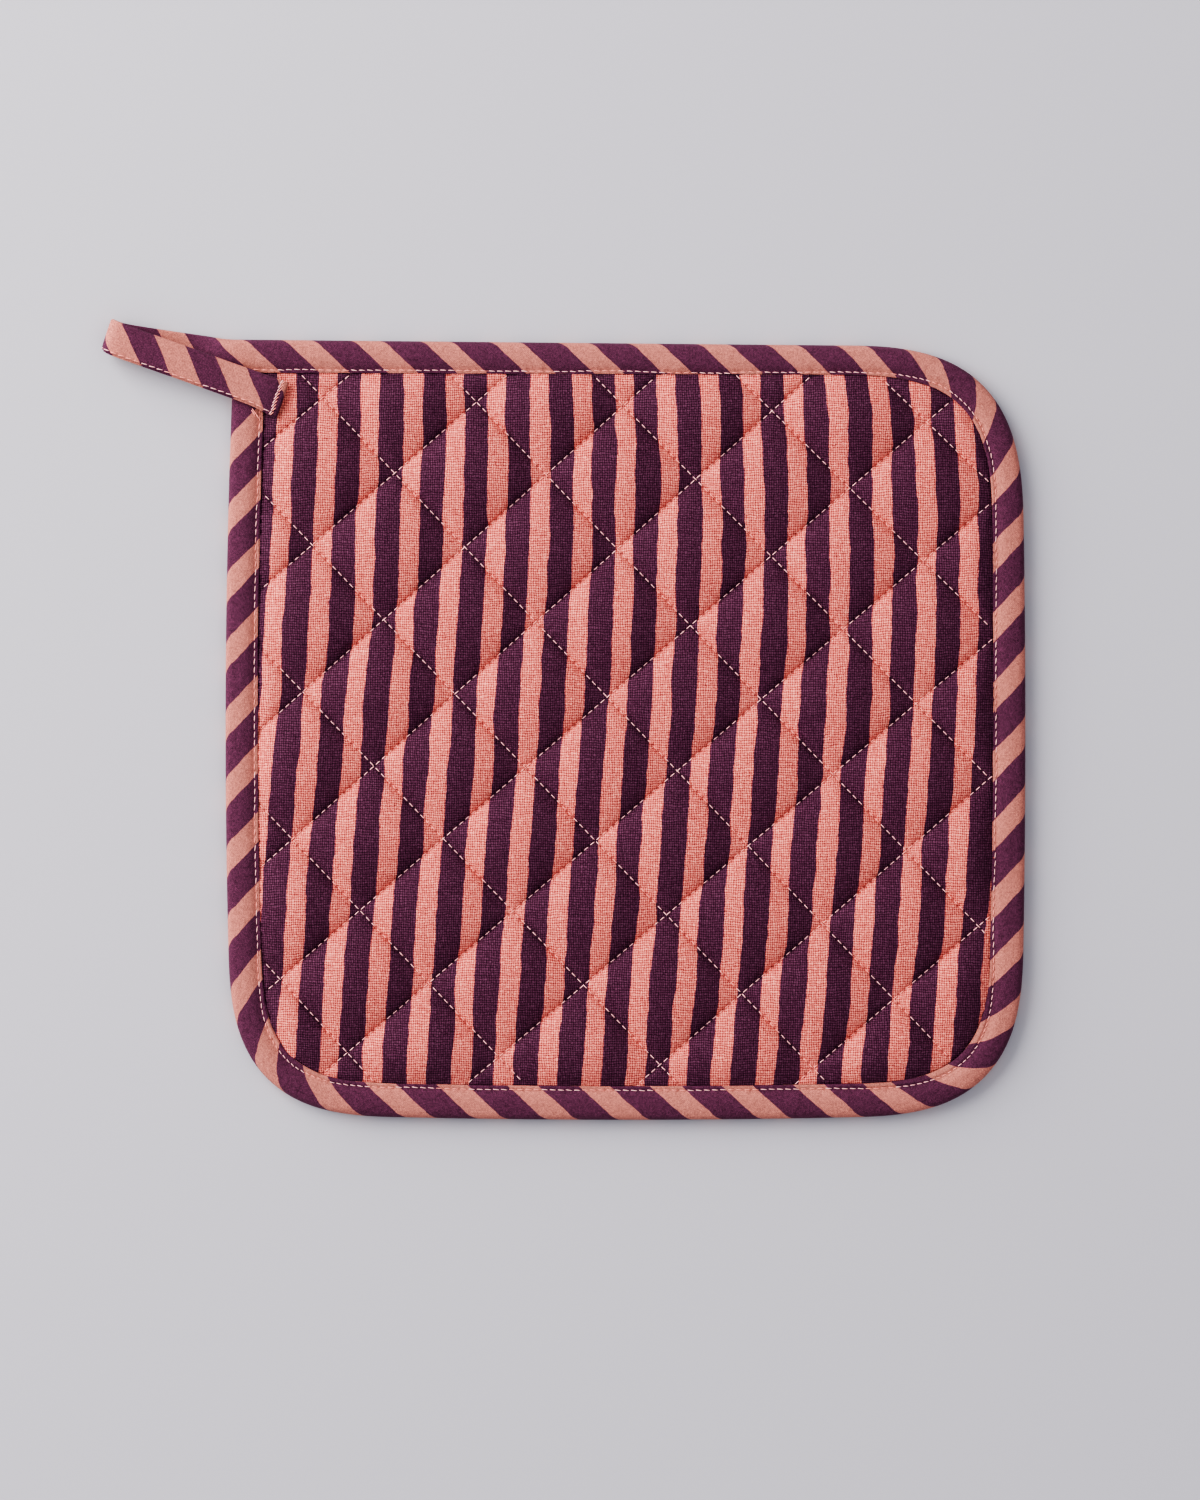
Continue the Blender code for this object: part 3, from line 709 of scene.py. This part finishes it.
def stitch_template():
    """One stitch as rings of five points round an arch, with a point at either end: places and faces.

    The first number of a place runs from -1 to 1 along the stitch, the second across it and the third up,
    both in thread radii.
    """
    sides, lifts = 5, ((-0.86, 0.75, -0.35), (-0.45, 1.0, 0.35), (0.45, 1.0, 0.35), (0.86, 0.75, -0.35))
    places = [(-1.0, 0.0, -1.1)]
    for along, thick, lift in lifts:
        for k in range(sides):
            angle = 2 * math.pi * (k + 0.25) / sides
            places.append((along, thick * math.cos(angle), lift + thick * math.sin(angle)))
    places.append((1.0, 0.0, -1.1))
    last = len(places) - 1
    faces = [(0, 1 + (k + 1) % sides, 1 + k) for k in range(sides)]
    for row in range(len(lifts) - 1):
        for k in range(sides):
            a, b = 1 + row * sides + k, 1 + row * sides + (k + 1) % sides
            faces.append((a, b, b + sides, a + sides))
    first = 1 + (len(lifts) - 1) * sides
    faces += [(first + k, first + (k + 1) % sides, last) for k in range(sides)]
    return np.array(places), faces


# A stitch by its two ends, the way up from the cloth and, on the tape, its place there.
Stitch = namedtuple("Stitch", "start end up repeats along around", defaults=(0.0, 0.0, 0.0))


def thread(name, stitches, radius):
    """One mesh of all the stitches."""
    places, faces = stitch_template()
    starts, ends, ups = (np.array([stitch[column] for stitch in stitches]) for column in range(3))
    middles, halves = (starts + ends) / 2, (ends - starts) / 2
    length = np.linalg.norm(halves, axis=1, keepdims=True)
    sideways = np.cross(ups, halves / length)
    points = (
        middles[:, None, :]
        + halves[:, None, :] * places[None, :, 0:1]
        + sideways[:, None, :] * places[None, :, 1:2] * radius
        + ups[:, None, :] * places[None, :, 2:3] * radius
    )
    count = len(places)
    all_faces = [tuple(i * count + k for k in face) for i in range(len(stitches)) for face in faces]
    repeats = np.repeat([stitch.repeats for stitch in stitches], count)
    along_tape = np.repeat([(stitch.along / MM, stitch.around / MM) for stitch in stitches], count, axis=0)
    return new_piece(name, points.reshape(-1, 3), all_faces, {"repeats": repeats, "place": along_tape})


def quilting_stitches(level, up):
    """The stitches of both families of lines at this level."""
    found = []
    for lines in (RISING_LINES, FALLING_LINES):
        for number, line in enumerate(lines):
            angle = math.radians(line.angle)
            along = np.array((math.cos(angle), math.sin(angle)))
            foot = np.array((-math.sin(angle), math.cos(angle))) * line.distance * MM
            holes = np.arange(-80, 80) * STITCH_PITCH + stitch_offset(number)
            middles = foot + (holes + STITCH_PITCH / 2)[:, None] * along
            for middle in middles[depth_from_tape(middles) > QUILTING_ENDS]:
                skew = 0.07 * noise_at(*(middle / MM), 3.0 * up)
                turned = along + np.array((-along[1], along[0])) * skew
                half = turned * STITCH_SHOWN / 2
                found.append(Stitch((*(middle - half), level), (*(middle + half), level), (0.0, 0.0, up)))
    return found


def on_tape(stations, travelled, s, inset_from_edge, sunk, upside):
    """The place on the tape's face, or on its back with upside -1, this far along and from its inner edge."""
    after = min(max(int(np.searchsorted(travelled, s)), 1), len(stations) - 1)
    share = (s - travelled[after - 1]) / (travelled[after] - travelled[after - 1])
    a, b = stations[after - 1], stations[after]
    inset = between(a.width, b.width, share) - inset_from_edge
    lift = between(a.height, b.height, share) / 2 - sunk
    return a.edge.lerp(b.edge, share) - a.across.lerp(b.across, share) * inset + a.up * upside * lift


def tape_stitches(stations, travelled, upside):
    """The stitches along the tape on its face, or with upside -1 on its back."""
    found = []
    for hole in np.arange(STITCH_PITCH, travelled[-1] - TAPE_STITCHING_ENDS, STITCH_PITCH):
        middle = hole + STITCH_PITCH / 2
        station = stations[min(int(np.searchsorted(travelled, middle)), len(stations) - 1)]
        nose, quarter = nose_of(station)
        inset = station.width - station.stitched_at
        around = -upside * (quarter + inset - nose)
        place = TapePoint(inset, upside * station.height / 2, around)
        sunk = tape_relief(station, middle, place) - 0.6 * THREAD_RADII["tape"]
        skew = (0.08 + 0.10 * noise_at(middle / MM, 0.3, 6.0 * upside)) * MM
        ends = [
            on_tape(stations, travelled, middle + half, station.stitched_at + slant, sunk, upside)
            for half, slant in ((-TAPE_STITCH_SHOWN / 2, -skew), (TAPE_STITCH_SHOWN / 2, skew))
        ]
        repeats = station.repeats - station.lean * around
        found.append(Stitch(*ends, station.up * upside, repeats, middle, around))
    return found


def tack_stitches(stations, travelled):
    """The zigzag that holds the loop's end down, and the stitches back where the tape's sewing starts."""
    found = []
    start, end = stations[0], stations[-1]
    for turn in range(TACK_TURNS):
        middle = between(TACK_INSETS[0], end.width - TACK_INSETS[1], turn / (TACK_TURNS - 1))
        for half_along, half_across, aside, sunk, tint in TACK_THREADS:
            stray = TACK_STRAY * noise_at(turn * 1.7, half_along, 9.1)
            ends = []
            for sign in (-1, 1):
                along = travelled[-1] - TACK_FROM_END + (aside + sign * half_along) * MM + stray
                across = middle + sign * half_across * MM + stray
                ends.append(on_tape(stations, travelled, along, across, sunk * MM, -1))
            # the second thread's coral place gives it the darker thread colour as painted shade
            found.append(Stitch(*ends, -end.up, tint))
    for along, inset, length in BACK_STITCHES:
        ends = []
        for onwards in (0.0, length):
            across = start.width - (inset + BACK_STITCH_SLANT * onwards) * MM
            ends.append(on_tape(stations, travelled, (along + onwards) * MM, across, BACK_STITCH_SUNK, 1))
        found.append(Stitch(*ends, start.up, ON_CORAL))
    return found


# ---- materials


class Shader:
    """A material whose nodes are made by short calls."""

    def __init__(self, name, roughness):
        self.material = bpy.data.materials.new(name)
        self.material.use_nodes = True
        self.tree = self.material.node_tree
        self.surface = self.tree.nodes["Principled BSDF"]
        self.surface.inputs["Roughness"].default_value = roughness

    def join(self, source, socket):
        if isinstance(source, bpy.types.NodeSocket):
            self.tree.links.new(source, socket)
        else:
            socket.default_value = source

    def made(self, kind, *values, **settings):
        """The outputs of a new node whose first inputs take these values."""
        node = self.tree.nodes.new(kind)
        for key, value in settings.items():
            setattr(node, key, value)
        for value, socket in zip(values, node.inputs):
            self.join(value, socket)
        return node.outputs

    def math(self, operation, *values):
        return self.made("ShaderNodeMath", *values, operation=operation)[0]

    def attribute(self, name):
        return self.made("ShaderNodeAttribute", attribute_name=name)

    def split(self, vector):
        return self.made("ShaderNodeSeparateXYZ", vector)

    def vector(self, x, y, z=0.0):
        return self.made("ShaderNodeCombineXYZ", x, y, z)[0]

    def noise(self, vector, scale, detail=1.0):
        found = self.made("ShaderNodeTexNoise", vector, 0.0, scale, detail)["Fac"]
        return self.math("SUBTRACT", found, 0.5)

    def patches(self, vector, scale, amount, detail=1.0):
        """Noise from minus to plus half this amount."""
        return self.math("MULTIPLY", self.noise(vector, scale, detail), amount)

    def yarns(self, across, along, spacing, seed):
        """How many yarns lie before this place, each of its own thickness and none quite straight."""
        drift = self.patches(self.vector(across, along, seed), 0.12, 1.6)
        uneven = self.noise(self.vector(self.math("MULTIPLY", across, 3.0), along, seed), 0.45)
        jitter = self.math("MULTIPLY_ADD", uneven, 0.9, drift)
        return self.math("ADD", self.math("DIVIDE", across, spacing), jitter)

    def ramp(self, value, low, high, start=0.0, end=1.0):
        values = (value, low, high, start, end)
        return self.made("ShaderNodeMapRange", *values, interpolation_type="SMOOTHSTEP")[0]

    def mix(self, share, first, second, blend="MIX"):
        node = self.tree.nodes.new("ShaderNodeMix")
        node.data_type = "RGBA"
        node.blend_type = blend
        for value, number in ((share, 0), (first, 6), (second, 7)):  # its sockets for colours
            self.join(value, node.inputs[number])
        return node.outputs[2]

    def dimmed(self, colour, factor):
        return self.mix(1.0, colour, self.vector(factor, factor, factor), "MULTIPLY")

    def polynomial(self, value, factors):
        total = factors[-1]
        for factor in factors[-2::-1]:
            total = self.math("MULTIPLY_ADD", value, total, factor)
        return total

    def cloth(self, colour, height, relief):
        """The finished material: its colour, painted light and all, with this relief for a height of 1, and a
        soft gloss.
        """
        self.join(colour, self.surface.inputs["Base Color"])
        bump = self.tree.nodes.new("ShaderNodeBump")
        bump.inputs["Distance"].default_value = relief
        self.join(height, bump.inputs["Height"])
        self.join(bump.outputs[0], self.surface.inputs["Normal"])
        for name, value in CLOTH_GLOSS.items():
            self.surface.inputs[name].default_value = value
        return self.material


# A cloth's colour in the gaps between the yarns, on the yarns and on top of the proudest of them: the darker,
# redder gap colour is painted shade in the weave's hollows, and the lighter top colour is a painted highlight
# on the yarns' crowns.
DyeWithPaintedLight = namedtuple("DyeWithPaintedLight", "gap yarn top")
PANEL_CORAL = DyeWithPaintedLight((0.21, 0.028, 0.021, 1.0), (0.86, 0.200, 0.163, 1.0), (1.0, 0.44, 0.34, 1.0))
PANEL_AUBERGINE = DyeWithPaintedLight((0.010, 0.0012, 0.006, 1.0), (0.080, 0.0105, 0.041, 1.0), (0.18, 0.068, 0.118, 1.0))
TAPE_CORAL = DyeWithPaintedLight((0.45, 0.150, 0.115, 1.0), (0.515, 0.205, 0.164, 1.0), (0.56, 0.235, 0.190, 1.0))
TAPE_AUBERGINE = DyeWithPaintedLight((0.100, 0.026, 0.057, 1.0), (0.121, 0.0345, 0.071, 1.0), (0.15, 0.050, 0.090, 1.0))
# painted shade in a needle hole on coral
NEEDLE_HOLE_SHADE = (0.30, 0.05, 0.045, 1.0)
THREAD = (1.0, 0.56, 0.54, 1.0)
THREAD_PAINTED_BOUNCE_AND_SHADE = (0.94, 0.36, 0.30, 1.0)  # painted coral bounce light on thread over coral stripes, and painted shade on the tack's second threads
CLOTH_GLOSS = {
    "Specular IOR Level": 0.45,
    "Specular Tint": (1.0, 0.55, 0.75, 1.0),
    "Sheen Weight": 0.05,
    "Sheen Roughness": 0.5,
}


def weave(shader, x, y):
    """Plain weave in yarn counts: how high the cloth stands, from 0 to 1, and each yarn crossing's chance."""
    column, row = shader.math("FLOOR", x), shader.math("FLOOR", y)
    odd = shader.math("FLOORED_MODULO", shader.math("ADD", column, row), 2.0)
    drops = []
    for place, more, least in ((x, -2.2, 3.2), (y, 2.2, 1.0)):
        off = shader.math("SUBTRACT", shader.math("FRACT", place), 0.5)
        steep = shader.math("MULTIPLY_ADD", odd, more, least)
        drops.append(shader.math("MULTIPLY", shader.math("MULTIPLY", off, off), steep))
    height = shader.math("SUBTRACT", 1.0, shader.math("ADD", *drops))
    return height, shader.made("ShaderNodeTexWhiteNoise", shader.vector(column, row, 0.5))["Value"]


# The yarn colour, with painted shade in the weave's gaps and a painted highlight on the proudest yarn tops.
def dyed_with_painted_light(shader, dye_and_painted_light, height, painted_glint):
    cloth = shader.mix(shader.ramp(height, 0.0, 0.9), dye_and_painted_light.gap, dye_and_painted_light.yarn)
    return shader.mix(painted_glint, cloth, dye_and_painted_light.top)


def striped(shader, coral, aubergine, coral_share, height, chance, spread, mottle):
    """The two colours of the stripes, with painted shade, darker and redder, in the gaps of the weave and a
    painted highlight on the proudest yarns, and uneven from yarn to yarn.
    """
    # painted highlight: how much of it each yarn crossing catches, at random
    painted_glint_strength = shader.math("MULTIPLY_ADD", chance, 0.5, 0.25)
    painted_glint = shader.math("MULTIPLY", shader.ramp(height, 0.55, 1.0), painted_glint_strength)
    both = shader.mix(coral_share, dyed_with_painted_light(shader, aubergine, height, painted_glint), dyed_with_painted_light(shader, coral, height, painted_glint))
    uneven = shader.math("MULTIPLY_ADD", chance, spread, 1 - spread / 2)
    return shader.dimmed(both, shader.math("ADD", uneven, mottle))


def needle_holes(shader, name):
    """1 at the needle holes of a family of seams, from its attribute of stitch counts and distances."""
    along, across, _ = shader.split(shader.attribute(name)["Vector"])
    beside = shader.math("ABSOLUTE", shader.math("WRAP", along, 0.5, -0.5))
    way = shader.math("MULTIPLY", beside, STITCH_PITCH / MM)
    squares = [shader.math("POWER", value, 2.0) for value in (way, across)]
    distance = shader.math("SQRT", shader.math("ADD", *squares))
    return shader.ramp(distance, *HOLE_RADII, 1.0, 0.0)


def panel_place(shader):
    """X and Y on the panel's cloth in millimetres."""
    x, y, _ = shader.split(shader.made("ShaderNodeTexCoord")["Object"])
    slack_x, slack_y, _ = shader.split(shader.attribute("slack")["Vector"])
    return shader.math("MULTIPLY_ADD", x, 1 / MM, slack_x), shader.math("MULTIPLY_ADD", y, 1 / MM, slack_y)


def panel_stripes(shader, x, y):
    """1 on the panel's coral stripes and 0 on its aubergine ones."""
    sway = shader.patches(shader.vector(x, shader.math("MULTIPLY", y, 0.8)), 0.035, 1.6)
    wobble = shader.patches(shader.vector(shader.math("MULTIPLY", x, 1.6), y), 0.11, 1.5, 2.0)
    ragged = shader.patches(shader.vector(x, y), 1.1, 0.35)
    middle, repeat = shader.polynomial(y, STRIPE_MIDDLE), shader.polynomial(y, STRIPE_REPEAT)
    moved = shader.math("ADD", shader.math("SUBTRACT", x, middle), sway)
    moved = shader.math("ADD", moved, shader.math("ADD", wobble, ragged))
    count = shader.math("WRAP", shader.math("DIVIDE", moved, repeat), 0.5, -0.5)
    from_middle = shader.math("MULTIPLY", shader.math("ABSOLUTE", count), repeat)
    edge = shader.math("SUBTRACT", from_middle, STRIPE_CORAL / 2)
    return shader.ramp(edge, -STRIPE_BLUR, STRIPE_BLUR, 1.0, 0.0)


def panel_material():
    shader = Shader("panel_cloth", roughness=0.60)
    x, y = panel_place(shader)
    coral_share = panel_stripes(shader, x, y)
    column, row = shader.yarns(x, y, YARN_ACROSS, 0.0), shader.yarns(y, x, YARN_UP, 3.0)
    height, chance = weave(shader, column, row)
    mottle = shader.patches(shader.vector(x, y), 0.45, 0.08, 3.0)
    colour = striped(shader, PANEL_CORAL, PANEL_AUBERGINE, coral_share, height, chance, YARN_SPREAD, mottle)
    holes = shader.math("MAXIMUM", needle_holes(shader, "rising_seam"), needle_holes(shader, "falling_seam"))
    # painted shade in the needle holes, darker over aubergine and redder over coral, mixed in at a share of
    # their mask
    painted_hole_shade = shader.mix(coral_share, PANEL_AUBERGINE.gap, NEEDLE_HOLE_SHADE)
    colour = shader.mix(shader.math("MULTIPLY", holes, 0.45), colour, painted_hole_shade)
    raised = shader.math("SUBTRACT", shader.math("ADD", height, shader.math("MULTIPLY", chance, 0.4)), holes)
    return shader.cloth(colour, raised, relief=0.12 * MM)


def tape_place(shader):
    """How far along the tape and round it, in millimetres."""
    return shader.split(shader.attribute("place")["Vector"])[:2]


def tape_stripes(shader, along, around):
    """1 on the tape's coral stripes and 0 on its aubergine ones."""
    repeats, flat = shader.attribute("repeats")["Fac"], shader.vector(along, around)
    wobble, ragged = shader.patches(flat, 0.16, 0.055, 2.0), shader.patches(flat, 1.3, 0.014)
    moved = shader.math("ADD", repeats, shader.math("ADD", wobble, ragged))
    count = shader.math("WRAP", shader.math("SUBTRACT", moved, ON_CORAL), 0.5, -0.5)
    half_share = shader.ramp(along, *CORAL_WIDENS, CORAL_SHARE / 2, LOOP_CORAL_SHARE / 2)
    edge = shader.math("SUBTRACT", shader.math("ABSOLUTE", count), half_share)
    return shader.ramp(edge, -TAPE_STRIPE_BLUR, TAPE_STRIPE_BLUR, 1.0, 0.0)


def tape_material():
    shader = Shader("bias_tape", roughness=0.86)
    along, around = tape_place(shader)
    flat = shader.vector(along, around)
    coral_share = tape_stripes(shader, along, around)
    yarns = [shader.math("DIVIDE", shader.math(way, along, around), TAPE_YARN) for way in ("ADD", "SUBTRACT")]
    height, chance = weave(shader, *yarns)
    broad = shader.patches(flat, 0.8, 0.55, 3.0)
    fuzzy = shader.math("MULTIPLY_ADD", shader.noise(flat, 2.5, 2.0), 1.15, broad)
    mottle = shader.math("MULTIPLY", fuzzy, shader.math("MULTIPLY_ADD", coral_share, -0.6, 1.7))
    colour = striped(shader, TAPE_CORAL, TAPE_AUBERGINE, coral_share, height, chance, TAPE_SPREAD, mottle)
    raised = shader.math("ADD", shader.math("MULTIPLY", height, 0.35), shader.patches(flat, 2.2, 1.4, 2.0))
    return shader.cloth(colour, raised, relief=0.07 * MM)


def thread_material(name, place, stripes):
    shader = Shader(name, roughness=0.55)
    # over coral stripes the thread takes painted coral bounce light
    dye_and_painted_light = shader.mix(stripes(shader, *place(shader)), THREAD, THREAD_PAINTED_BOUNCE_AND_SHADE)
    everywhere = shader.made("ShaderNodeTexCoord")["Object"]
    uneven = shader.math("MULTIPLY_ADD", shader.noise(everywhere, 900.0), 0.5, 1.0)
    return shader.cloth(shader.dimmed(dye_and_painted_light, uneven), shader.noise(everywhere, 5000.0), relief=0.05 * MM)


# ---- stage


def floor():
    bpy.ops.mesh.primitive_plane_add(size=6.0, location=(0.0, 0.0, -0.05 * MM))
    plane = bpy.context.object
    plane.name = "floor"
    shader = Shader("floor", roughness=0.7)
    shader.surface.inputs["Base Color"].default_value = (0.525, 0.503, 0.545, 1.0)
    plane.data.materials.append(shader.material)


def light(name, direction, distance, size, power, colour):
    """A square soft light, this far from the object's middle in the direction given."""
    lamp = bpy.data.lights.new(name, "AREA")
    lamp.energy = power
    lamp.size = size
    lamp.color = colour
    item = placed(name, lamp)
    item.location = Vector(direction).normalized() * distance
    item.rotation_euler = Vector(direction).to_track_quat("Z", "Y").to_euler()


def lighting():
    light("key", (-0.745, 0.44, 0.49), distance=1.6, size=1.5, power=39.5, colour=(1.0, 0.985, 0.96))
    light("fill", (0.3, -0.2, 1.0), distance=2.0, size=1.8, power=5.5, colour=(0.95, 0.97, 1.0))
    world = bpy.data.worlds.new("studio")
    world.use_nodes = True
    background = world.node_tree.nodes["Background"]
    background.inputs["Color"].default_value = (0.93, 0.95, 1.0, 1.0)
    background.inputs["Strength"].default_value = 0.47
    bpy.context.scene.world = world
    bpy.context.scene.view_settings.view_transform = "AgX"
    bpy.context.scene.view_settings.look = "AgX - Very High Contrast"


def camera():
    lens = bpy.data.cameras.new("camera")
    lens.lens = LENS
    lens.sensor_width = SENSOR
    item = placed("camera", lens)
    item.location = (*CAMERA_LOOKS_AT, VIEW_LEVEL + VIEW_HEIGHT * LENS / SENSOR)
    bpy.context.scene.camera = item


# ---- all together


def main():
    cloth = quilted_cloth()
    cloth.data.materials.append(panel_material())
    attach(cloth, "root")
    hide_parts("quilted_panel")

    tape, stations, travelled = bias_tape()
    tape.data.materials.append(tape_material())
    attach(tape, "root")
    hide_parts("edge_binding", "hanging_loop")

    sewing = {
        "quilting_stitches_face": quilting_stitches(SEAM_FACE + QUILTING_LIFT, 1.0),
        "quilting_stitches_back": quilting_stitches(SEAM_UNDER - QUILTING_LIFT, -1.0),
        "tape_stitches_face": tape_stitches(stations, travelled, 1),
        "tape_stitches_back": tape_stitches(stations, travelled, -1),
        "tack_stitches": tack_stitches(stations, travelled),
    }
    on_panel = thread_material("quilting_thread", panel_place, panel_stripes)
    on_tape_cloth = thread_material("tape_thread", tape_place, tape_stripes)
    for name, stitches in sewing.items():
        kind = name.split("_")[0]
        piece = thread(name, stitches, THREAD_RADII[kind])
        piece.data.materials.append(on_panel if kind == "quilting" else on_tape_cloth)
        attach(piece, "root")

    floor()
    lighting()
    camera()


main()
